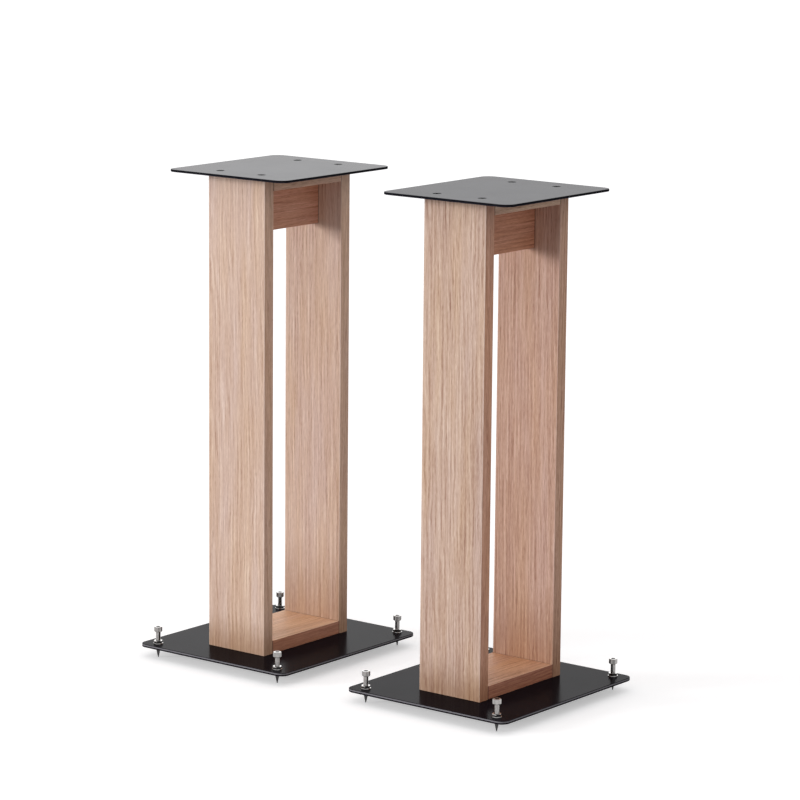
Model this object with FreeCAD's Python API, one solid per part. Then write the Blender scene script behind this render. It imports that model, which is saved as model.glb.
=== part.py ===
import FreeCAD, Part
import math
import os

from FreeCAD import Vector

# A pair of speaker stands, in millimetres. X runs across the pair, Y from front to rear, Z up.
# The origin is on the floor, midway between the two stands.

# The pair
stand_height = 600.0
stand_gap = 95.0
floor_gap = 13.0

# Steel plates: width along X, depth along Y
top_plate_width = 182.0
top_plate_depth = 206.0
top_plate_thickness = 3.0
top_plate_corner_radius = 13.0
base_plate_width = 230.0
base_plate_depth = 260.0
base_plate_thickness = 4.0
base_plate_corner_radius = 11.0
plate_edge_round = 0.6

# Oak frame: two panels, a board between them at each end, and a brace under the top board
frame_width = 88.0
frame_depth = 160.0
panel_thickness = 16.0
top_board_thickness = 16.0
bottom_board_thickness = 16.0
brace_height = 54.0
brace_thickness = 16.0
board_edge_round = 0.6

# Dowels, glued into panels and boards; the skin is the wood left outside a hole in a panel
dowel_diameter = 8.0
dowel_length = 30.0
dowel_skin = 5.0
dowel_end_gap = 1.0
dowel_chamfer = 0.8
brace_dowel_shares = (0.25, 0.75)
glue_gap = 0.05

# Countersunk screws through the plates, into threaded inserts in the panels' ends
screw_diameter = 5.0
screw_head_diameter = 10.0
screw_head_sink = 0.2
screw_engagement = 11.0
screw_tip_chamfer = 0.6
screw_socket_flats = 3.0
screw_socket_depth = 1.8
screw_edge_inset = 12.0
screw_plate_clearance = 0.1
insert_diameter = 8.0
insert_length = 13.0
insert_recess = 0.5
insert_hole_tail = 3.0
insert_to_dowel_wall = 5.0
thread_clearance = 0.05

# Levelling spikes with a washer and a lock nut
spike_diameter = 6.0
spike_tip_diameter = 1.0
spike_cone_height = 11.5
spike_head_diameter = 10.0
spike_head_height = 6.0
spike_head_chamfer = 0.5
spike_socket_flats = 5.0
spike_socket_depth = 3.0
spike_neck = 11.3
spike_inset_x = 20.0
spike_inset_y = 14.0
washer_diameter = 12.0
washer_thickness = 1.0
washer_clearance = 0.2
nut_flats = 10.0
nut_height = 3.0
nut_chamfer_angle = 30.0

# Cuts run past the faces that they open, and edges are told apart by their direction
overrun = 1.0
angle_tolerance = math.radians(1)

# Heights, from the floor up
base_plate_top = floor_gap + base_plate_thickness
frame_bottom = base_plate_top
frame_top = stand_height - top_plate_thickness
bottom_board_top = frame_bottom + bottom_board_thickness
top_board_bottom = frame_top - top_board_thickness
brace_bottom = top_board_bottom - brace_height
washer_top = base_plate_top + washer_thickness
nut_top = washer_top + nut_height
spike_head_bottom = nut_top + spike_neck
spike_top = spike_head_bottom + spike_head_height

# Places in plan, measured from a stand's own centre line
stand_pitch = stand_gap + max(base_plate_width, top_plate_width)
panel_inner_y = frame_depth / 2 - panel_thickness
panel_middle_y = frame_depth / 2 - panel_thickness / 2
board_length = frame_depth - 2 * panel_thickness
screw_x = frame_width / 2 - screw_edge_inset
dowel_depth_in_panel = panel_thickness - dowel_end_gap - dowel_skin
dowel_x = screw_x - insert_diameter / 2 - dowel_diameter / 2 - insert_to_dowel_wall
spike_x = base_plate_width / 2 - spike_inset_x
spike_y = base_plate_depth / 2 - spike_inset_y

# A long screw head reaches through a thin plate, so the inserts sit below its cone
screw_neck_depth = screw_head_sink + (screw_head_diameter - screw_diameter) / 2
cone_below_plate = max(0, screw_neck_depth - min(top_plate_thickness, base_plate_thickness))
insert_depth = insert_recess + cone_below_plate

SIDES = (-1, 1)
UP = Vector(0, 0, 1)
REARWARD = Vector(0, 1, 0)
screw_places = [(sx * screw_x, sy * panel_middle_y) for sx in SIDES for sy in SIDES]
spike_places = {
    "front_left": (-spike_x, -spike_y),
    "front_right": (spike_x, -spike_y),
    "rear_left": (-spike_x, spike_y),
    "rear_right": (spike_x, spike_y),
}


def block(width, depth, z_low, z_high, y_middle=0.0):
    """A square-edged board, centred on X and on y_middle."""
    corner = Vector(-width / 2, y_middle - depth / 2, z_low)
    return Part.makeBox(width, depth, z_high - z_low, corner)


def upright(diameter, z_low, z_high):
    """An upright cylinder on the Z axis."""
    return Part.makeCylinder(diameter / 2, z_high - z_low, Vector(0, 0, z_low), UP)


def turned(profile):
    """A solid of revolution about Z, from (radius, height) points in order."""
    points = [Vector(radius, 0, height) for radius, height in profile]
    face = Part.Face(Part.makePolygon(points + points[:1]))
    return face.revolve(Vector(0, 0, 0), UP, 360)


def hexagon(across_flats, z_low, z_high):
    """An upright hexagonal prism."""
    reach = across_flats / math.sqrt(3)
    turns = [math.radians(60 * i) for i in range(6)]
    points = [Vector(reach * math.cos(t), reach * math.sin(t), z_low) for t in turns]
    face = Part.Face(Part.makePolygon(points + points[:1]))
    return face.extrude(UP * (z_high - z_low))


def lengthwise(edges, direction):
    """The edges that run along a direction."""
    return [e for e in edges if e.tangentAt(e.FirstParameter).cross(direction).Length < angle_tolerance]


def moved(shape, x=0.0, y=0.0, z=0.0):
    """A copy of a shape, shifted."""
    copy = shape.copy()
    copy.translate(Vector(x, y, z))
    return copy


def rounded_plate(width, depth, z_low, z_high, corner_radius):
    """A sheet with round corners in plan and softened rims."""
    sheet = block(width, depth, z_low, z_high)
    sheet = sheet.makeFillet(corner_radius, lengthwise(sheet.Edges, UP))
    rims = [e for e in sheet.Edges if e.BoundBox.ZLength < plate_edge_round]
    return sheet.makeFillet(plate_edge_round, rims)


def screw_solid(plate_thickness):
    """A countersunk screw, head up, with the plate's outer face at height zero."""
    head, shank = screw_head_diameter / 2, screw_diameter / 2
    top = -screw_head_sink
    neck = top - (head - shank)
    tip = -plate_thickness - screw_engagement
    body = turned([
        (0, top), (head, top), (shank, neck), (shank, tip + screw_tip_chamfer),
        (shank - screw_tip_chamfer, tip), (0, tip),
    ])
    socket = hexagon(screw_socket_flats, top - screw_socket_depth, top + overrun)
    return body.cut(socket)


def screw_hole(plate_thickness):
    """The countersunk hole for such a screw, with its clearance."""
    head = screw_head_diameter / 2 + screw_plate_clearance
    shank = screw_diameter / 2 + screw_plate_clearance
    neck = -screw_head_sink - (head - shank)
    through = -plate_thickness - overrun
    return turned([
        (0, overrun), (head, overrun), (head, -screw_head_sink), (shank, neck),
        (shank, through), (0, through),
    ])


def insert_solid():
    """A threaded insert, mouth up, with the panel's end face at height zero."""
    top = -insert_depth
    bottom = top - insert_length
    bore = upright(screw_diameter + 2 * thread_clearance, bottom - overrun, top + overrun)
    return upright(insert_diameter, bottom, top).cut(bore)


def insert_hole():
    """The hole in a panel's end for such an insert and the screw's tip."""
    depth = insert_depth + insert_length + insert_hole_tail
    return upright(insert_diameter + 2 * glue_gap, -depth, overrun)


def at_top(shape, face_height):
    """Four copies of a fastener shape that points down from a face, at the screw places."""
    return [moved(shape, x, y, face_height) for x, y in screw_places]


def at_bottom(shape, face_height):
    """Four copies of a fastener shape turned over, so that it points up from a face."""
    turned_over = shape.copy()
    turned_over.rotate(Vector(0, 0, 0), Vector(1, 0, 0), 180)
    return [moved(turned_over, x, y, face_height) for x, y in screw_places]


def dowel_solid():
    """A dowel along Y that starts at its end in the panel, at zero, and runs towards +Y."""
    radius = dowel_diameter / 2
    thin = radius - dowel_chamfer
    bar = turned([
        (0, 0), (thin, 0), (radius, dowel_chamfer), (radius, dowel_length - dowel_chamfer),
        (thin, dowel_length), (0, dowel_length),
    ])
    bar.rotate(Vector(0, 0, 0), Vector(1, 0, 0), -90)
    return bar


def dowel_hole():
    """The room for such a dowel, glue and end gaps included."""
    length = dowel_length + 2 * dowel_end_gap
    return Part.makeCylinder(
        dowel_diameter / 2 + glue_gap, length, Vector(0, -dowel_end_gap, 0), REARWARD
    )


def at_dowel_places(shape, places):
    """Copies of a dowel shape at the front and rear ends of a board, at (x, z) places."""
    start = panel_inner_y + dowel_depth_in_panel
    rear = shape.copy()
    rear.rotate(Vector(0, 0, 0), UP, 180)
    copies = []
    for x, z in places:
        copies.append(moved(shape, x, -start, z))
        copies.append(moved(rear, x, start, z))
    return copies


def eased_board(width, depth, z_low, z_high, grain, y_middle=0.0):
    """A board whose long edges, along the grain, are slightly rounded."""
    board = block(width, depth, z_low, z_high, y_middle)
    return board.makeFillet(board_edge_round, lengthwise(board.Edges, grain))


def spike_solid():
    """A levelling spike on the Z axis, its point on the floor."""
    shank, tip, head = spike_diameter / 2, spike_tip_diameter / 2, spike_head_diameter / 2
    rim = head - spike_head_chamfer
    body = turned([
        (0, 0), (tip, 0), (shank, spike_cone_height), (shank, spike_head_bottom),
        (rim, spike_head_bottom), (head, spike_head_bottom + spike_head_chamfer),
        (head, spike_top - spike_head_chamfer), (rim, spike_top), (0, spike_top),
    ])
    socket = hexagon(spike_socket_flats, spike_top - spike_socket_depth, spike_top + overrun)
    return body.cut(socket)


def washer_solid():
    """A flat washer on the base plate."""
    bore = spike_diameter + 2 * washer_clearance
    opening = upright(bore, base_plate_top - overrun, washer_top + overrun)
    return upright(washer_diameter, base_plate_top, washer_top).cut(opening)


def nut_solid():
    """A hexagon nut on the washer, its corners turned off above and below."""
    corner = nut_flats / math.sqrt(3)
    flat = nut_flats / 2
    drop = (corner - flat) * math.tan(math.radians(nut_chamfer_angle))
    envelope = turned([
        (0, washer_top), (flat, washer_top), (corner, washer_top + drop),
        (corner, nut_top - drop), (flat, nut_top), (0, nut_top),
    ])
    bore = spike_diameter + 2 * thread_clearance
    opening = upright(bore, washer_top - overrun, nut_top + overrun)
    return hexagon(nut_flats, washer_top, nut_top).common(envelope).cut(opening)


def plate_pieces():
    """The top and base plates with their screws and the inserts that these hold to."""
    top_plate = rounded_plate(
        top_plate_width, top_plate_depth, frame_top, stand_height, top_plate_corner_radius
    )
    base_plate = rounded_plate(
        base_plate_width, base_plate_depth, floor_gap, base_plate_top, base_plate_corner_radius
    )
    bore = spike_diameter + 2 * thread_clearance
    thread_hole = upright(bore, floor_gap - overrun, base_plate_top + overrun)
    thread_holes = [moved(thread_hole, x, y) for x, y in spike_places.values()]
    base_screw_holes = at_bottom(screw_hole(base_plate_thickness), floor_gap)
    return {
        "top_plate": top_plate.cut(at_top(screw_hole(top_plate_thickness), stand_height)),
        "top_screws": at_top(screw_solid(top_plate_thickness), stand_height),
        "top_inserts": at_top(insert_solid(), frame_top),
        "base_plate": base_plate.cut(thread_holes + base_screw_holes),
        "base_screws": at_bottom(screw_solid(base_plate_thickness), floor_gap),
        "base_inserts": at_bottom(insert_solid(), frame_bottom),
    }


def frame_pieces():
    """The oak panels and boards, and the dowels in their joints."""
    board_dowels = [
        (side * dowel_x, middle)
        for middle in ((top_board_bottom + frame_top) / 2, (frame_bottom + bottom_board_top) / 2)
        for side in SIDES
    ]
    brace_dowels = [(0, brace_bottom + share * brace_height) for share in brace_dowel_shares]
    holes = at_dowel_places(dowel_hole(), board_dowels + brace_dowels)
    end_holes = at_top(insert_hole(), frame_top) + at_bottom(insert_hole(), frame_bottom)
    pieces = {
        "board_dowels": at_dowel_places(dowel_solid(), board_dowels),
        "brace_dowels": at_dowel_places(dowel_solid(), brace_dowels),
    }
    for name, side in (("front_panel", -1), ("rear_panel", 1)):
        panel = eased_board(
            frame_width, panel_thickness, frame_bottom, frame_top, UP, side * panel_middle_y
        )
        pieces[name] = panel.cut(end_holes + holes)
    boards = {
        "top_board": (frame_width, top_board_bottom, frame_top),
        "bottom_board": (frame_width, frame_bottom, bottom_board_top),
        "cross_brace": (brace_thickness, brace_bottom, top_board_bottom),
    }
    for name, (width, z_low, z_high) in boards.items():
        pieces[name] = eased_board(width, board_length, z_low, z_high, REARWARD).cut(holes)
    return pieces


def spike_pieces():
    """A spike, a washer and a lock nut at each corner of the base plate."""
    pieces = {}
    for corner, (x, y) in spike_places.items():
        pieces["spike_" + corner] = moved(spike_solid(), x, y)
        pieces["washer_" + corner] = moved(washer_solid(), x, y)
        pieces["lock_nut_" + corner] = moved(nut_solid(), x, y)
    return pieces


os.makedirs("parts", exist_ok=True)
for stand, side in (("left", -1), ("right", 1)):
    for name, piece in {**plate_pieces(), **frame_pieces(), **spike_pieces()}.items():
        solids = piece if isinstance(piece, list) else piece.Solids
        group = [moved(solid, side * stand_pitch / 2) for solid in solids]
        shape = group[0] if len(group) == 1 else Part.makeCompound(group)
        shape.exportStep(f"parts/{stand}_{name}.step")
        volume = sum(solid.Volume for solid in group)
        print(stand, name, len(group), "solids", round(volume), "mm3, valid", shape.isValid())
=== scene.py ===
# %% [markdown]
# # A pair of speaker stands
# Two equal stands hold a small loudspeaker each at ear height. Each is an upright oak frame between
# two black steel plates, and it stands on four turned spikes. The solids come from the CAD model.
# This lesson dresses them: it sets up the studio, makes the finishes, and models the small turned
# parts again with the threads, knurls and flutes that a plain solid leaves out.

# %% Load the frame
import math

import bmesh
import bpy
from mathutils import Matrix, Vector


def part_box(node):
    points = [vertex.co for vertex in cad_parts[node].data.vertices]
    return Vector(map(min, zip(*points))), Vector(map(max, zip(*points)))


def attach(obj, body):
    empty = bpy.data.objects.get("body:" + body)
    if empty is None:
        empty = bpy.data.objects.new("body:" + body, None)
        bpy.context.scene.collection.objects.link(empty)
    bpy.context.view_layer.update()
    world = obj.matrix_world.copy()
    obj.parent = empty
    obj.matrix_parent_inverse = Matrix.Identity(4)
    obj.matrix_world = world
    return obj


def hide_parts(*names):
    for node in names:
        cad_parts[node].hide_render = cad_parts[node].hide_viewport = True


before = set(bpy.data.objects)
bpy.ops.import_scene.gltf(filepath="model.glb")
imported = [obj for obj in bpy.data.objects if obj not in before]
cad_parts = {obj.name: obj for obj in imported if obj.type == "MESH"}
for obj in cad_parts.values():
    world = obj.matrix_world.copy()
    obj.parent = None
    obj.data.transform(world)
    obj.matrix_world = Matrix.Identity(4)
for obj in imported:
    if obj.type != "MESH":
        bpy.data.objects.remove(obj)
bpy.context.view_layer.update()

stands = ("left", "right")
corners = ("front_left", "front_right", "rear_left", "rear_right")

# %% [markdown]
# The camera stands where the picture was taken from. A long lens far away keeps the uprights almost
# parallel, so its place is given as an aim point near the middle of the pair, a distance, and three
# angles. An empty with a tracking constraint could do the same, but three plain axes are easier to
# check, and they take the slight roll of the picture as well.

# %% Camera
view_azimuth = math.radians(37.90)
view_elevation = math.radians(10.57)
view_roll = math.radians(0.52)
view_distance = 4.203
aim_point = Vector((-0.0223, 0.0593, 0.3240))
far_limit = 100.0
# The lens and its film are in millimetres, and all other lengths in metres
lens_length = 156.74
film_width = 36.0

back = Vector((
    math.sin(view_azimuth) * math.cos(view_elevation),
    -math.cos(view_azimuth) * math.cos(view_elevation),
    math.sin(view_elevation),
))
level = Vector((math.cos(view_azimuth), math.sin(view_azimuth), 0))
upward = back.cross(level)
picture_right = level * math.cos(view_roll) + upward * math.sin(view_roll)
picture_up = upward * math.cos(view_roll) - level * math.sin(view_roll)

lens = bpy.data.cameras.new("lens")
lens.lens = lens_length
lens.sensor_width = film_width
lens.clip_end = far_limit
camera = bpy.data.objects.new("camera", lens)
camera.matrix_world = (
    Matrix.Translation(aim_point + back * view_distance)
    @ Matrix((picture_right, picture_up, back)).transposed().to_4x4()
)
bpy.context.scene.collection.objects.link(camera)
bpy.context.scene.camera = camera
bpy.context.scene.view_settings.view_transform = "Standard"
print("camera height:", round(camera.matrix_world.translation.z, 3), "m")

# %% [markdown]
# Every finish below is worked out by nodes. Wiring them by hand takes many lines, so one small class
# wraps a socket: arithmetic on it adds the Math nodes, and one method adds any other node. With that,
# a pattern reads as the formula it is.

# %% Values that build nodes
# The Mix node has sockets for numbers, vectors and colours, and these are the ones for colours
mix_share = 0
mix_first = 6
mix_second = 7
mix_result = 2


def set_stops(ramp, stops):
    """Gives a colour ramp its stops, each a place from 0 to 1 and a colour."""
    while len(ramp.elements) < len(stops):
        ramp.elements.new(1.0)
    for element, (place, colour) in zip(ramp.elements, stops):
        element.position = place
        element.color = colour


class Value:
    """One output socket of a material's nodes. Arithmetic on it adds the Math nodes for it."""

    def __init__(self, tree, socket):
        self.tree = tree
        self.socket = socket

    def node(self, kind, settings, sockets, output=0):
        """Adds a node, sets it up, fills or links its sockets and returns one of its outputs."""
        made = self.tree.nodes.new("ShaderNode" + kind)
        for name, setting in settings.items():
            if name == "stops":
                set_stops(made.color_ramp, setting)
            else:
                setattr(made, name, setting)
        for name, value in sockets.items():
            if isinstance(value, Value):
                self.tree.links.new(value.socket, made.inputs[name])
            else:
                made.inputs[name].default_value = value
        return Value(self.tree, made.outputs[output])

    def math(self, operation, *values):
        """Adds a Math node that works on the values."""
        return self.node("Math", {"operation": operation}, dict(enumerate(values)))

    def __add__(self, other):
        return self.math("ADD", self, other)

    def __radd__(self, other):
        return self.math("ADD", other, self)

    def __sub__(self, other):
        return self.math("SUBTRACT", self, other)

    def __rsub__(self, other):
        return self.math("SUBTRACT", other, self)

    def __mul__(self, other):
        return self.math("MULTIPLY", self, other)

    def __rmul__(self, other):
        return self.math("MULTIPLY", other, self)

    def __pow__(self, other):
        return self.math("POWER", self, other)

    def __abs__(self):
        return self.math("ABSOLUTE", self)

    def rise(self, low, high):
        """0 below the low value, 1 above the high one, and a smooth slope between."""
        sockets = {"Value": self, "From Min": low, "From Max": high}
        return self.node("MapRange", {"interpolation_type": "SMOOTHSTEP"}, sockets)

    def shifted(self, offset):
        """These coordinates, moved by an offset."""
        return self.node("VectorMath", {"operation": "ADD"}, {0: self, 1: offset})

    def stretched(self, x, y, z):
        """These coordinates times a number on each axis. The larger it is, the finer the noise."""
        return self.node("VectorMath", {"operation": "MULTIPLY"}, {0: self, 1: (x, y, z)})

    def axes(self):
        """The X, Y and Z of these coordinates."""
        split = self.node("SeparateXYZ", {}, {0: self}).socket.node
        return [Value(self.tree, socket) for socket in split.outputs]

    def noise(self, detail, roughness=0.5):
        """Cloudy noise about one unit across, between 0 and 1 with a mean of a half."""
        sockets = {0: self, "Scale": 1.0, "Detail": detail, "Roughness": roughness}
        return self.node("TexNoise", {}, sockets)

    def mixed(self, first, second, blend="MIX"):
        """Two colours mixed, with this value as the share of the second."""
        settings = {"data_type": "RGBA", "blend_type": blend}
        sockets = {mix_share: self, mix_first: first, mix_second: second}
        return self.node("Mix", settings, sockets, mix_result)

    def tinted(self, tint):
        """This colour as seen through a tint."""
        settings = {"data_type": "RGBA", "blend_type": "MULTIPLY"}
        sockets = {mix_share: 1.0, mix_first: self, mix_second: tint}
        return self.node("Mix", settings, sockets, mix_result)


# %% [markdown]
# A finish starts from a place and ends at the shader. The place is given by the object's own
# coordinates, in metres, because the pieces lie where the CAD model put them. A pattern then has its
# true size on every piece, where coordinates from 0 to 1 would stretch it with the piece's box.

# %% Colours and finishes
def srgb(red, green, blue):
    """A colour as a picture editor gives it, from 0 to 255, as the linear colour that nodes use."""
    parts = [part / 255 for part in (red, green, blue)]
    return tuple(p / 12.92 if p < 0.04045 else ((p + 0.055) / 1.055) ** 2.4 for p in parts) + (1.0,)


def new_finish(name):
    """A material, and a value that holds where each point lies on the object, in metres."""
    material = bpy.data.materials.new(name)
    material.use_nodes = True
    tree = material.node_tree
    coordinates = tree.nodes.new("ShaderNodeTexCoord")
    return material, Value(tree, coordinates.outputs["Object"])


def fill_shader(material, sockets):
    """Fills or links the sockets of the material's own shader."""
    tree = material.node_tree
    shader = tree.nodes["Principled BSDF"]
    for name, value in sockets.items():
        if isinstance(value, Value):
            tree.links.new(value.socket, shader.inputs[name])
        else:
            shader.inputs[name].default_value = value
    print("finish:", material.name, "with", len(tree.nodes), "nodes")
    return material


# %% [markdown]
# The studio is a white floor that runs back out of sight, and a white surround. A curved paper sweep
# would do as well, but the camera looks down a little, so the floor alone fills the picture. What the
# camera and the reflections see of the floor is white, with a little light of its own. The light that
# it throws back on the stands is that of a grey floor, so the insides of the frames stay dark.

# %% Floor and surround
floor_side = 60.0
floor_glow = 0.40
surround_light = 0.72
floor_white = srgb(238, 237, 238)
floor_bounce = srgb(150, 149, 150)

floor_bm = bmesh.new()
bmesh.ops.create_grid(floor_bm, x_segments=1, y_segments=1, size=floor_side / 2)
floor_mesh = bpy.data.meshes.new("floor")
floor_bm.to_mesh(floor_mesh)
floor_bm.free()
floor = bpy.data.objects.new("floor", floor_mesh)
bpy.context.scene.collection.objects.link(floor)


def seen_share(tree):
    """1 for what the camera or a reflection sees, and 0 for the light that falls on things."""
    path = tree.nodes.new("ShaderNodeLightPath")
    camera_ray = Value(tree, path.outputs["Is Camera Ray"])
    glossy_ray = Value(tree, path.outputs["Is Glossy Ray"])
    return camera_ray.math("MAXIMUM", camera_ray, glossy_ray)


floor_paint = new_finish("white_floor")[0]
floor_tree = floor_paint.node_tree
seen = seen_share(floor_tree)
fill_shader(floor_paint, {
    "Base Color": seen.mixed(floor_bounce, floor_white),
    "Roughness": 0.9,
    "Specular IOR Level": 0.0,
})
paint = Value(floor_tree, floor_tree.nodes["Principled BSDF"].outputs[0])
glow = paint.node("Emission", {}, {"Strength": seen * floor_glow})
both = paint.node("AddShader", {}, {0: paint, 1: glow})
floor_tree.links.new(both.socket, floor_tree.nodes["Material Output"].inputs["Surface"])
floor_mesh.materials.append(floor_paint)

world = bpy.data.worlds.new("surround")
bpy.context.scene.world = world
world.use_nodes = True
world_tree = world.node_tree
world_shade = world_tree.nodes["Background"]
world_shade.inputs["Color"].default_value = (1.0, 1.0, 1.0, 1.0)
world_level = seen_share(world_tree) * (1 - surround_light) + surround_light
world_tree.links.new(world_level.socket, world_shade.inputs["Strength"])
print("floor:", floor_side, "m square, glow", floor_glow)

# %% [markdown]
# One key light stands in front and to the left, little higher than the stands, and the white surround
# fills the rest. A sun lamp with some width gives the even light of a soft box far away, and the shadow
# under each brace shows how low it stood. A weak back light, far to the rear, lays a soft sheen on the
# black plates, which the frames mask, so that the plates are darkest just in front of them.

# %% Light
key_from = Vector((-0.62, -0.68, 0.17))
key_strength = 2.2
key_spread = math.radians(20)

back_height = math.radians(11)
back_strength = 0.26
back_spread = math.radians(30)


def add_sun(name, from_direction, strength, spread, in_mirrors):
    """A sun lamp that shines from a direction, as wide as its spread."""
    lamp = bpy.data.lights.new(name, "SUN")
    lamp.energy = strength
    lamp.angle = spread
    sun = bpy.data.objects.new(name, lamp)
    sun.rotation_mode = "QUATERNION"
    sun.rotation_quaternion = from_direction.to_track_quat("Z", "Y")
    sun.visible_glossy = in_mirrors
    bpy.context.scene.collection.objects.link(sun)
    print("lamp:", name, round(math.degrees(math.asin(from_direction.normalized().z))), "degrees high")


add_sun("key", key_from, key_strength, key_spread, in_mirrors=False)
away = Vector((-math.sin(view_azimuth), math.cos(view_azimuth), math.tan(back_height)))
add_sun("back", away, back_strength, back_spread, in_mirrors=True)

# %% [markdown]
# The frames are oak veneer, sanded and oiled: pale, slightly pink, with fine upright streaks. A tree
# grows in rings, and a board shows where its face cuts them, so the pattern starts from the distance
# to the heart of the tree, made wavy by noise. Noise drawn out along the board adds long bands,
# streaks and fibres, and short dark dashes in the spring wood are the open pores. A picture of wood
# would repeat from board to board, and this way each board is cut from a place of its own.
#
# The cut edges carry a thin strip of veneer in a slightly different tone, which is also painted darker
# as shade, and a pale line painted along the corner beside it is a painted highlight. The boards between
# the panels end in a dark line of painted shadow where they meet the panels, and the feet of the panels
# are darkened with painted shade beside the black plate.

# %% Oak
ring_width = 0.0046
oak_stops = (
    (0.0, srgb(165, 128, 111)),
    (0.3, srgb(198, 166, 151)),
    (0.55, srgb(218, 190, 176)),
    (0.8, srgb(231, 206, 193)),
    (1.0, srgb(246, 225, 214)),
)
pore_brown = srgb(132, 96, 78)
pore_share = 0.4
honey = srgb(255, 250, 236)

# The edge strip is a veneer band of a warmer tone, and it is also painted darker as shade, most on the
# right front panel and the bottom boards.
edge_skin = 0.0001
edge_band_shade_tint = srgb(255, 246, 236)
edge_band_shade_tints = {
    "right_front_panel": srgb(252, 219, 200),
    "left_bottom_board": srgb(205, 176, 173),
    "right_bottom_board": srgb(205, 176, 173),
}
# A pale line painted along each corner beside the edge strip, as a highlight
corner_highlight_width = 0.0013
painted_corner_highlight = srgb(244, 224, 211)
corner_highlight_share = 0.7
# A dark line of painted shadow where the flat boards meet the panels
joint_shadow_width = 0.0011
joint_shadow_brown = srgb(66, 42, 32)
joint_shadow_share = 0.8
# Painted shade on the feet of the panels beside the black plate, taller on the rear panels
foot_shade_start = 0.002
foot_shade_heights = {"front": 0.05, "rear": 0.13}
foot_shade_tint = srgb(218, 206, 193)


def oak(name, node, lies_flat, heart, lean, offset, tint, figure):
    """Oak for one board: how far off the tree's heart lies, its lean, and the strength of the grain."""
    low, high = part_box(node)
    material, place = new_finish(name)
    centred = place.shifted((low + high) / -2)
    turn = (math.radians(90) if lies_flat else 0.0, 0.0, 0.0)
    wood = centred.node("Mapping", {}, {"Vector": centred, "Rotation": turn})
    across, through, along = wood.axes()
    grain = wood.shifted((offset, -offset, 3 * offset))

    drift = grain.stretched(14, 14, 3.5).noise(2.0) - 0.5
    wander = grain.stretched(70, 70, 20).noise(3.0, 0.6) - 0.5
    side = across + heart[0] + 0.014 * drift
    depth = through + heart[1] + lean * along + 0.02 * drift
    radius = (side ** 2 + depth ** 2) ** 0.5 + 0.006 * wander
    ring = radius.math("SINE", radius * (math.tau / ring_width))
    shows = grain.stretched(120, 120, 16).noise(2.0).rise(0.35, 0.7)
    spring = ring.rise(0.3, 1.0) * shows

    # The grain runs almost straight on one side of a board and sways more on the other
    crown = across.rise(-0.005, 0.03)
    sway = wander.node("CombineXYZ", {}, {0: (0.002 + 0.005 * crown) * wander})
    fibres = grain.shifted(sway)
    band = fibres.stretched(560, 560, 1.3).noise(3.0, 0.6) - 0.5
    streak = fibres.stretched(430, 430, 9).noise(3.0, 0.6) - 0.5
    fibre = fibres.stretched(900, 900, 26).noise(3.0, 0.6) - 0.5
    hair = grain.stretched(2000, 2000, 130).noise(2.0) - 0.5
    cloud = grain.stretched(24, 24, 3).noise(1.0) - 0.5
    warmth = grain.stretched(60, 60, 6).noise(2.0) - 0.5
    dash = grain.stretched(2400, 2400, 110).noise(1.0).rise(0.58, 0.68)
    pores = dash * (0.25 + 0.75 * spring)

    lines = 0.95 * band + 0.7 * streak + 1.2 * fibre + 1.0 * hair - 0.2 * ring * shows
    tone = 0.6 + 0.3 * cloud + figure * lines
    colour = tone.node("ValToRGB", {"stops": oak_stops}, {0: tone})
    colour = (0.5 + 2.2 * warmth).mixed(colour, honey, "MULTIPLY")
    colour = (pore_share * pores).mixed(colour, pore_brown)

    half = (high.x - low.x) / 2
    strip = abs(across).rise(half - 2 * edge_skin, half - edge_skin)
    # The pale corner line is a painted highlight
    corner = abs(across).rise(half - corner_highlight_width, half - corner_highlight_width / 2) * (1 - strip)
    colour = (corner_highlight_share * corner).mixed(colour, painted_corner_highlight)
    # The edge strip takes its veneer tone, darkened as painted shade, and the whole board its shade tint
    colour = strip.mixed(colour, edge_band_shade_tints.get(node, edge_band_shade_tint), "MULTIPLY").tinted(tint)
    length = (high.y - low.y) if lies_flat else (high.z - low.z)
    if lies_flat:
        # The ends of the flat boards get a painted shadow line where they meet the panels
        joint = abs(along).rise(length / 2 - joint_shadow_width, length / 2 - joint_shadow_width / 2)
        colour = (joint_shadow_share * joint).mixed(colour, joint_shadow_brown)
    else:
        # The feet of the panels are darkened as painted shade
        foot_shade_height = foot_shade_heights[node.split("_")[1]]
        foot = 1 - along.rise(foot_shade_start - length / 2, foot_shade_height - length / 2)
        colour = foot.mixed(colour, foot_shade_tint, "MULTIPLY")

    height = 0.3 * hair + 0.2 * fibre - pores - 0.25 * spring
    bump = height.node("Bump", {}, {"Strength": 0.35, "Distance": 0.0002, "Height": height})
    return fill_shader(material, {
        "Base Color": colour,
        "Roughness": 0.55 + 0.25 * pores + 0.25 * fibre,
        "Specular IOR Level": 0.3,
        "Normal": bump,
    })


def dress(node, material):
    """Gives a CAD node its finish."""
    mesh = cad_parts[node].data
    mesh.materials.clear()
    mesh.materials.append(material)


# These tints paint shade: the right stand is darker than the left, its rear panel most of all, and the
# bottom boards and braces are darker and redder, as painted shade inside the frames. The top boards are
# tinted almost white.
panel_shade_tint = {"left": srgb(241, 238, 237), "right": srgb(231, 227, 225)}
rear_shade_tint = {"left": srgb(241, 240, 241), "right": srgb(225, 212, 208)}
top_tint = {"left": srgb(255, 252, 250), "right": srgb(255, 252, 250)}
bottom_board_shade_tint = {"left": srgb(255, 236, 212), "right": srgb(236, 208, 183)}
brace_shade_tint = {"left": srgb(239, 211, 204), "right": srgb(227, 192, 179)}
figures = {"left": 0.85, "right": 1.08}
stand_shift = 11.7
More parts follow.
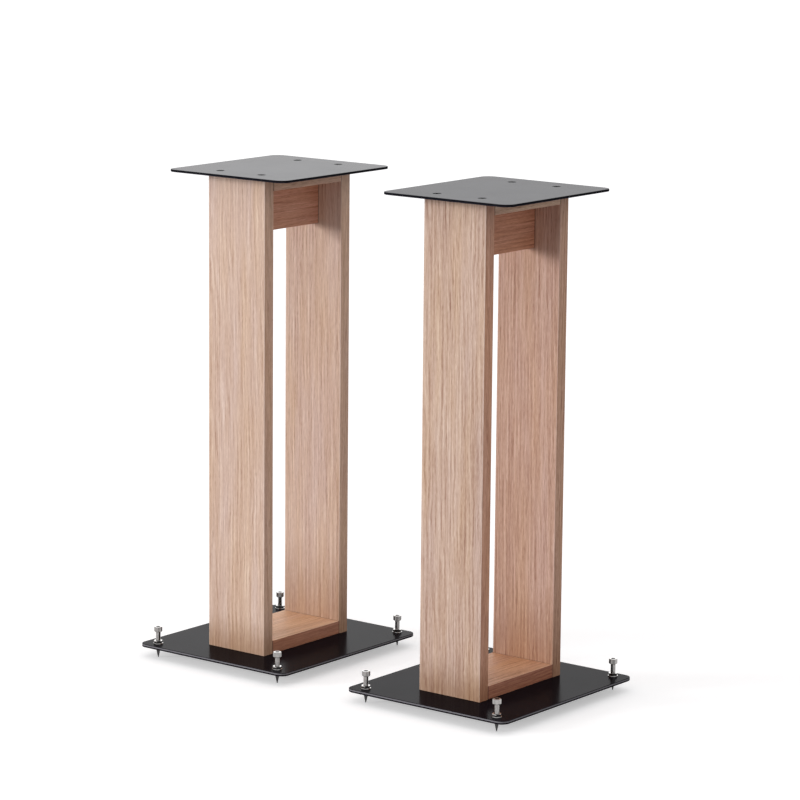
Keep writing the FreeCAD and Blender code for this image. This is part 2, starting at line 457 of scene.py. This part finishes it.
# For each board: if it lies flat, where the heart is, its lean, the place in the tree, the shade tints
board_cuts = {
    "front_panel": (False, (0.058, 0.05), 0.035, 1.3, panel_shade_tint),
    "rear_panel": (False, (-0.062, 0.045), -0.03, 2.9, rear_shade_tint),
    "top_board": (True, (0.07, 0.05), 0.02, 4.1, top_tint),
    "bottom_board": (True, (-0.06, 0.05), 0.03, 5.7, bottom_board_shade_tint),
    "cross_brace": (True, (0.05, 0.06), 0.02, 7.3, brace_shade_tint),
}
for stand_number, stand in enumerate(stands):
    for board, (lies_flat, heart, lean, offset, tints) in board_cuts.items():
        node = f"{stand}_{board}"
        shift = offset + stand_shift * stand_number
        finish = oak(f"oak_{node}", node, lies_flat, heart, lean, shift, tints[stand], figures[stand])
        dress(node, finish)

# %% [markdown]
# The plates are steel with a baked black coat. Seen close it isn't a flat black: the coat has a fine
# orange-peel skin and tiny pale specks, and it mirrors the white room where it is seen at a slant.
# The clear coat of the shader gives that mirror. The top plate is glossier than the base plate. The
# cut rims are duller than the faces. A strip along the upper half of each rim is painted: a darker black
# on the top plate, and on the thick rim of the base plate a paler strip as a painted highlight.

# %% Black coat
coat_softness = 0.2
speck_grey = srgb(120, 118, 122)
rim_dulling = 0.95
rim_near = 0.0001
rim_far = 0.0003
# Where the painted rim strip runs, as shares of the plate's thickness
strip_from = (0.42, 0.5)
strip_to = (0.82, 0.9)


def black_coat(name, node, mirror, dark, light, painted_rim_strip):
    """A baked black coat on steel. The mirror is how much of a full gloss it has."""
    low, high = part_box(node)
    thick = high.z - low.z
    material, place = new_finish(name)
    height = place.axes()[2]
    peel = place.stretched(700, 700, 700).noise(2.0) - 0.5
    skin = place.stretched(18, 18, 18).noise(2.0) - 0.5
    speck = place.stretched(2600, 2600, 2600).noise(1.0).rise(0.68, 0.78)
    over = height.rise(low.z + rim_near, low.z + rim_far)
    rim = over * (1 - height.rise(high.z - rim_far, high.z - rim_near))
    upper = height.rise(*[low.z + share * thick for share in strip_from])
    strip = upper * (1 - height.rise(*[low.z + share * thick for share in strip_to]))
    colour = (0.5 + 1.2 * skin).mixed(dark, light)
    colour = (0.25 * speck * (1 - rim)).mixed(colour, speck_grey)
    # The rim strip is painted: a highlight on the base plate, a darker black on the top plate
    colour = (strip * (1 + peel)).mixed(colour, painted_rim_strip)
    bump = peel.node("Bump", {}, {"Strength": 0.15, "Distance": 0.00006, "Height": peel})
    return fill_shader(material, {
        "Base Color": colour,
        "Roughness": 0.55 + 0.25 * skin + 0.2 * peel,
        "Specular IOR Level": 0.0,
        "Coat Weight": (mirror + 0.1 * mirror * skin) * (1 - rim_dulling * rim),
        "Coat Roughness": coat_softness,
        "Normal": bump,
    })


# The left plates get more mirror than the right ones, a painted sheen for how the light fell on each
top_mirror = {"left": 0.36, "right": 0.28}
top_black = (srgb(29, 28, 37), srgb(39, 38, 47), srgb(17, 17, 19))
base_mirror = {"left": 0.165, "right": 0.14}
base_black = (srgb(12, 9, 15), srgb(18, 15, 22), srgb(122, 120, 125))
for stand in stands:
    top_plate = f"{stand}_top_plate"
    dress(top_plate, black_coat(f"satin_coat_{stand}", top_plate, top_mirror[stand], *top_black))
    base_plate = f"{stand}_base_plate"
    dress(base_plate, black_coat(f"matt_coat_{stand}", base_plate, base_mirror[stand], *base_black))

# %% [markdown]
# The spikes, washers and lock nuts are nickel plated, the points of the spikes are a darker, duller
# metal, the screws are blackened and the threaded inserts are brass. Turned metal carries fine rings
# round its axis and a little smear, so each metal gets noise in its roughness. The black of the
# screws is an oxide, not a metal's shine, so it has a finish of its own.

# %% Metals
def metal(name, colour, shade, roughness, unevenness):
    """A turned metal: a colour, a duller shade of it in patches, and fine tool marks."""
    material, place = new_finish(name)
    marks = place.stretched(900, 900, 9000).noise(2.0) - 0.5
    smear = place.stretched(160, 160, 160).noise(2.0) - 0.5
    bump = marks.node("Bump", {}, {"Strength": unevenness, "Distance": 0.00003, "Height": marks})
    return fill_shader(material, {
        "Base Color": (0.5 + 1.6 * smear).mixed(colour, shade),
        "Metallic": 1.0,
        "Roughness": roughness + unevenness * (smear + marks),
        "Normal": bump,
    })


nickel = metal("bright_nickel", srgb(184, 182, 180), srgb(150, 148, 147), 0.06, 0.08)
point_steel = metal("point_steel", srgb(88, 86, 86), srgb(60, 59, 60), 0.22, 0.2)
brass = metal("brass", srgb(214, 178, 106), srgb(186, 148, 82), 0.3, 0.2)

black_steel, steel_place = new_finish("blackened_steel")
oxide = steel_place.stretched(900, 900, 900).noise(3.0) - 0.5
oxide_bump = oxide.node("Bump", {}, {"Strength": 0.3, "Distance": 0.00005, "Height": oxide})
fill_shader(black_steel, {
    "Base Color": (0.5 + 1.5 * oxide).mixed(srgb(7, 7, 8), srgb(18, 18, 19)),
    "Roughness": 0.6 + 0.4 * oxide,
    "Specular IOR Level": 0.02,
    "Normal": oxide_bump,
})

# %% [markdown]
# The dowels are beech, which is plainer than oak: fine straight fibres and short darker flecks. They
# lie from front to rear, so the noise is drawn out along Y.

# %% Beech
beech, beech_place = new_finish("beech")
long_fibre = beech_place.stretched(900, 30, 900).noise(3.0) - 0.5
fleck = beech_place.stretched(1500, 250, 1500).noise(1.0).rise(0.6, 0.7)
beech_colour = (0.5 + 1.4 * long_fibre).mixed(srgb(196, 158, 122), srgb(219, 186, 152))
beech_bump = long_fibre.node("Bump", {}, {"Strength": 0.3, "Distance": 0.0001, "Height": long_fibre})
fill_shader(beech, {
    "Base Color": (0.35 * fleck).mixed(beech_colour, srgb(150, 108, 78)),
    "Roughness": 0.7 + 0.2 * long_fibre,
    "Specular IOR Level": 0.25,
    "Normal": beech_bump,
})

# %% [markdown]
# The small parts come off a lathe. Each is a stack of rings round one axis, joined ring to ring, which
# is what a lathe does with one outline. A spin of the outline would give the same skin, but rings stay
# at hand afterwards, to close an end, to knurl a rim or to sink a socket.

# %% Shapes from a lathe
def ring(bm, radius, height, sides):
    """A ring of edges round the Z axis."""
    place = Matrix.Translation((0, 0, height))
    made = bmesh.ops.create_circle(bm, segments=sides, radius=radius, matrix=place)
    return list({edge for vert in made["verts"] for edge in vert.link_edges})


def stack(bm, levels, sides, closed=False):
    """Joins rings of the given radii and heights into one skin, and returns the rings."""
    rings = [ring(bm, radius, height, sides) for radius, height in levels]
    following = rings[1:] + rings[:1] if closed else rings[1:]
    for lower, upper in zip(rings, following):
        bmesh.ops.bridge_loops(bm, edges=lower + upper)
    return rings


def pull_in(bm, rim, share):
    """Pulls every second corner of a ring in, to a share of its radius."""
    verts = {vert for edge in rim for vert in edge.verts}
    in_turn = sorted(verts, key=lambda vert: math.atan2(vert.co.y, vert.co.x))
    bmesh.ops.scale(bm, vec=(share, share, 1), verts=in_turn[::2])


def hexagon_socket(bm, rim, flats, top, depth):
    """Closes a flat top and sinks a hexagon socket in it."""
    corner_radius = flats / math.sqrt(3)
    mouth = ring(bm, corner_radius, top, 6)
    bottom = ring(bm, corner_radius, top - depth, 6)
    bmesh.ops.triangle_fill(bm, use_beauty=True, edges=rim + mouth)
    bmesh.ops.bridge_loops(bm, edges=mouth + bottom)
    bmesh.ops.contextual_create(bm, geom=bottom)


# %% [markdown]
# A thread is a ridge of four corners, spun up the axis by one pitch a turn. Its foot is a little
# narrower than the pitch, so that one turn never meets the next. A screw modifier would wind it as
# well, but here both ends have to be closed.

# %% Threads
steps_a_turn = 24
# Half the width of the ridge's foot, as a share of the pitch
foot_share = 0.47


def thread(bm, root, crest, flat, pitch, low, high):
    """Winds a right-hand thread up the Z axis as a ridge with a flat crest, and closes its ends."""
    foot = foot_share * pitch
    outline = ((root, -foot), (crest, -flat / 2), (crest, flat / 2), (root, foot))
    points = [bm.verts.new((radius, 0, low + foot + rise)) for radius, rise in outline]
    lines = [bm.edges.new((points[i - 1], points[i])) for i in range(len(points))]
    count = int((high - low - 2 * foot) / pitch * steps_a_turn)
    made = bmesh.ops.spin(
        bm,
        geom=points + lines,
        cent=(0, 0, 0),
        axis=(0, 0, 1),
        dvec=(0, 0, pitch / steps_a_turn),
        angle=math.tau * count / steps_a_turn,
        steps=count,
    )
    last_lines = [part for part in made["geom_last"] if isinstance(part, bmesh.types.BMEdge)]
    bmesh.ops.contextual_create(bm, geom=lines)
    bmesh.ops.contextual_create(bm, geom=last_lines)


# %% [markdown]
# A shape is made once, near the origin, and set at every place where the stands need it. The piece
# then says which body carries it and which plain solid it stands for.

# %% Pieces
mm = 0.001
merge_distance = 1e-7
sharp_angle = math.radians(32)


def shape_of(bm, name):
    """Closes up a finished shape, turns its faces outwards and keeps it as a mesh."""
    bmesh.ops.remove_doubles(bm, verts=bm.verts, dist=merge_distance)
    bmesh.ops.recalc_face_normals(bm, faces=bm.faces)
    mesh = bpy.data.meshes.new(name)
    bm.to_mesh(mesh)
    bm.free()
    print("shape:", name, "with", len(mesh.polygons), "faces")
    return mesh


def underside(node):
    """The place in the middle of a node's underside."""
    low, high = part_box(node)
    middle = (low + high) / 2
    return Matrix.Translation((middle.x, middle.y, low.z))


def add_piece(name, shape, places, finishes, body, node):
    """Sets a shape at its places in one mesh, and hands the piece to the body and node it belongs to."""
    joined = bmesh.new()
    for place in places:
        before = len(joined.verts)
        joined.from_mesh(shape)
        joined.verts.ensure_lookup_table()
        bmesh.ops.transform(joined, matrix=place, verts=joined.verts[before:])
    mesh = bpy.data.meshes.new(name)
    joined.to_mesh(mesh)
    joined.free()
    for finish in finishes:
        mesh.materials.append(finish)
    mesh.shade_smooth()
    mesh.set_sharp_from_angle(angle=sharp_angle)
    piece = bpy.data.objects.new(name, mesh)
    bpy.context.scene.collection.objects.link(piece)
    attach(piece, body)
    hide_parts(node)


# %% [markdown]
# A levelling spike is a steel rod with a ground point, a thread for most of its length, and a knurled
# head with a socket on top, so that it can be set by hand or with a key from above the plate. The
# point is a darker, duller metal than the plated rod. The knurl is a ring with every second corner
# pulled in. Bump alone would do for it in a far view, but the outline of the head would stay smooth.

# %% Spikes
spike_low, spike_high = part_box("left_spike_front_left")
spike_height = spike_high.z - spike_low.z
head_radius = (spike_high.x - spike_low.x) / 2
head_height = 6.0 * mm
head_low = spike_height - head_height
head_chamfer = 0.5 * mm
knurl_ridges = 40
knurl_share = 0.955
point_top = 11.4 * mm

spike_bm = bmesh.new()
rod = stack(spike_bm, (
    (0.40 * mm, 0.0),
    (0.50 * mm, 0.10 * mm),
    (2.95 * mm, point_top),
    (2.70 * mm, 11.80 * mm),
    (2.70 * mm, head_low - 0.9 * mm),
    (2.95 * mm, head_low - 0.6 * mm),
    (2.95 * mm, head_low + 0.2 * mm),
), sides=32)
bmesh.ops.contextual_create(spike_bm, geom=rod[0])
bmesh.ops.contextual_create(spike_bm, geom=rod[-1])
# The faces of the point take the second finish
for face in spike_bm.faces:
    if face.calc_center_median().z < point_top:
        face.material_index = 1
thread(
    spike_bm,
    root=2.6 * mm,
    crest=2.97 * mm,
    flat=0.5 * mm,
    pitch=1.0 * mm,
    low=11.6 * mm,
    high=head_low - 0.6 * mm,
)

head = stack(spike_bm, (
    (head_radius - head_chamfer, head_low),
    (head_radius, head_low + head_chamfer),
    (head_radius, spike_height - head_chamfer),
    (head_radius - head_chamfer, spike_height),
), sides=2 * knurl_ridges)
for rim in head[1:3]:
    pull_in(spike_bm, rim, knurl_share)
bmesh.ops.contextual_create(spike_bm, geom=head[0])
hexagon_socket(spike_bm, head[-1], flats=5.0 * mm, top=spike_height, depth=3.0 * mm)
spike_shape = shape_of(spike_bm, "spike_shape")

for stand in stands:
    for corner in corners:
        node = f"{stand}_spike_{corner}"
        name = f"{stand}_turned_spike_{corner}"
        add_piece(name, spike_shape, [underside(node)], [nickel, point_steel], node, node)

# %% [markdown]
# The washer under each lock nut is punched from sheet, so its upper rim is a little round. It is one
# closed stack of rings. The lock nuts keep the CAD shape, which has the true chamfers of a turned nut.

# %% Washers
washer_bm = bmesh.new()
stack(washer_bm, (
    (3.20 * mm, 0.15 * mm),
    (3.35 * mm, 0.0),
    (5.90 * mm, 0.0),
    (6.00 * mm, 0.10 * mm),
    (6.00 * mm, 0.75 * mm),
    (5.92 * mm, 0.93 * mm),
    (5.75 * mm, 1.00 * mm),
    (3.35 * mm, 1.00 * mm),
    (3.20 * mm, 0.85 * mm),
), sides=48, closed=True)
washer_shape = shape_of(washer_bm, "washer_shape")

for stand in stands:
    for corner in corners:
        node = f"{stand}_washer_{corner}"
        name = f"{stand}_punched_washer_{corner}"
        add_piece(name, washer_shape, [underside(node)], [nickel], node, node)
        dress(f"{stand}_lock_nut_{corner}", nickel)

# %% [markdown]
# Four countersunk screws hold each plate. Their heads lie just below the plate's face, and each has a
# hexagon socket. The screws in the base plate point up, so their shape is turned over, not mirrored,
# which would give them a left-hand thread.

# %% Screws
screw_low, screw_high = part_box("left_top_screws")
screw_length = screw_high.z - screw_low.z
screw_head_radius = 5.0 * mm

screw_bm = bmesh.new()
screw = stack(screw_bm, (
    (1.50 * mm, -screw_length),
    (2.05 * mm, 0.6 * mm - screw_length),
    (2.05 * mm, -3.6 * mm),
    (2.45 * mm, -3.2 * mm),
    (2.45 * mm, -2.6 * mm),
    (4.85 * mm, -0.2 * mm),
    (4.85 * mm, -0.1 * mm),
    (4.70 * mm, 0.0),
), sides=48)
bmesh.ops.contextual_create(screw_bm, geom=screw[0])
hexagon_socket(screw_bm, screw[-1], flats=3.0 * mm, top=0.0, depth=1.8 * mm)
thread(
    screw_bm,
    root=1.95 * mm,
    crest=2.47 * mm,
    flat=0.12 * mm,
    pitch=0.8 * mm,
    low=0.6 * mm - screw_length,
    high=-3.4 * mm,
)
screw_shape = shape_of(screw_bm, "screw_shape")


def four_places(node, margin, height):
    """Places near the four corners of a node's box, a margin in from its sides."""
    low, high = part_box(node)
    widths = (low.x + margin, high.x - margin)
    depths = (low.y + margin, high.y - margin)
    return [Matrix.Translation((x, y, height)) for x in widths for y in depths]


turned_over = Matrix.Rotation(math.radians(180), 4, "X")
for stand in stands:
    body = f"{stand}_stand"
    top_node = f"{stand}_top_screws"
    name = f"{stand}_top_socket_screws"
    places = four_places(top_node, screw_head_radius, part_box(top_node)[1].z)
    add_piece(name, screw_shape, places, [black_steel], body, top_node)
    base_node = f"{stand}_base_screws"
    name = f"{stand}_base_socket_screws"
    upright = four_places(base_node, screw_head_radius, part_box(base_node)[0].z)
    places = [place @ turned_over for place in upright]
    add_piece(name, screw_shape, places, [black_steel], body, base_node)

# %% [markdown]
# Each screw bites into a brass insert in the end of a panel. A coarse outer thread holds the insert in
# the wood. It is a sleeve, so its stack of rings closes on itself, and the thread runs round outside.

# %% Inserts
insert_low, insert_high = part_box("left_top_inserts")
insert_length = insert_high.z - insert_low.z
insert_radius = 4.0 * mm

insert_bm = bmesh.new()
stack(insert_bm, (
    (2.55 * mm, 0.3 * mm),
    (2.80 * mm, 0.0),
    (3.10 * mm, 0.0),
    (3.35 * mm, 0.4 * mm),
    (3.35 * mm, insert_length - 0.4 * mm),
    (3.10 * mm, insert_length),
    (2.80 * mm, insert_length),
    (2.55 * mm, insert_length - 0.3 * mm),
), sides=32, closed=True)
thread(
    insert_bm,
    root=3.25 * mm,
    crest=insert_radius,
    flat=0.25 * mm,
    pitch=2.0 * mm,
    low=0.4 * mm,
    high=insert_length - 0.4 * mm,
)
insert_shape = shape_of(insert_bm, "insert_shape")

for stand in stands:
    for end in ("top", "base"):
        node = f"{stand}_{end}_inserts"
        name = f"{stand}_{end}_wood_inserts"
        places = four_places(node, insert_radius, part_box(node)[0].z)
        add_piece(name, insert_shape, places, [brass], f"{stand}_stand", node)

# %% [markdown]
# Fluted beech dowels join the boards to the panels. The flutes let air and glue out of the hole. They
# are made like the knurl, with every second corner of the rings pulled in, and the ends are chamfered.

# %% Dowels
dowel_radius = 4.0 * mm
dowel_length = 30.0 * mm
dowel_end_radius = 3.2 * mm
dowel_chamfer = 0.8 * mm
flute_count = 20
flute_share = 0.93

dowel_bm = bmesh.new()
dowel = stack(dowel_bm, (
    (dowel_end_radius, -dowel_length / 2),
    (dowel_radius, dowel_chamfer - dowel_length / 2),
    (dowel_radius, dowel_length / 2 - dowel_chamfer),
    (dowel_end_radius, dowel_length / 2),
), sides=2 * flute_count)
for rim in dowel[1:3]:
    pull_in(dowel_bm, rim, flute_share)
bmesh.ops.contextual_create(dowel_bm, geom=dowel[0])
bmesh.ops.contextual_create(dowel_bm, geom=dowel[-1])
laid_down = Matrix.Rotation(math.radians(90), 3, "X")
bmesh.ops.rotate(dowel_bm, matrix=laid_down, verts=dowel_bm.verts)
dowel_shape = shape_of(dowel_bm, "dowel_shape")

for stand in stands:
    for joint in ("board", "brace"):
        node = f"{stand}_{joint}_dowels"
        low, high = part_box(node)
        # The brace has one dowel across its thickness, so its two widths are the same
        widths = sorted({round(low.x + dowel_radius, 5), round(high.x - dowel_radius, 5)})
        depths = (low.y + dowel_length / 2, high.y - dowel_length / 2)
        heights = (low.z + dowel_radius, high.z - dowel_radius)
        places = [Matrix.Translation((x, y, z)) for x in widths for y in depths for z in heights]
        name = f"{stand}_{joint}_fluted_dowels"
        add_piece(name, dowel_shape, places, [beech], f"{stand}_stand", node)
        print("dowels:", node, len(places))
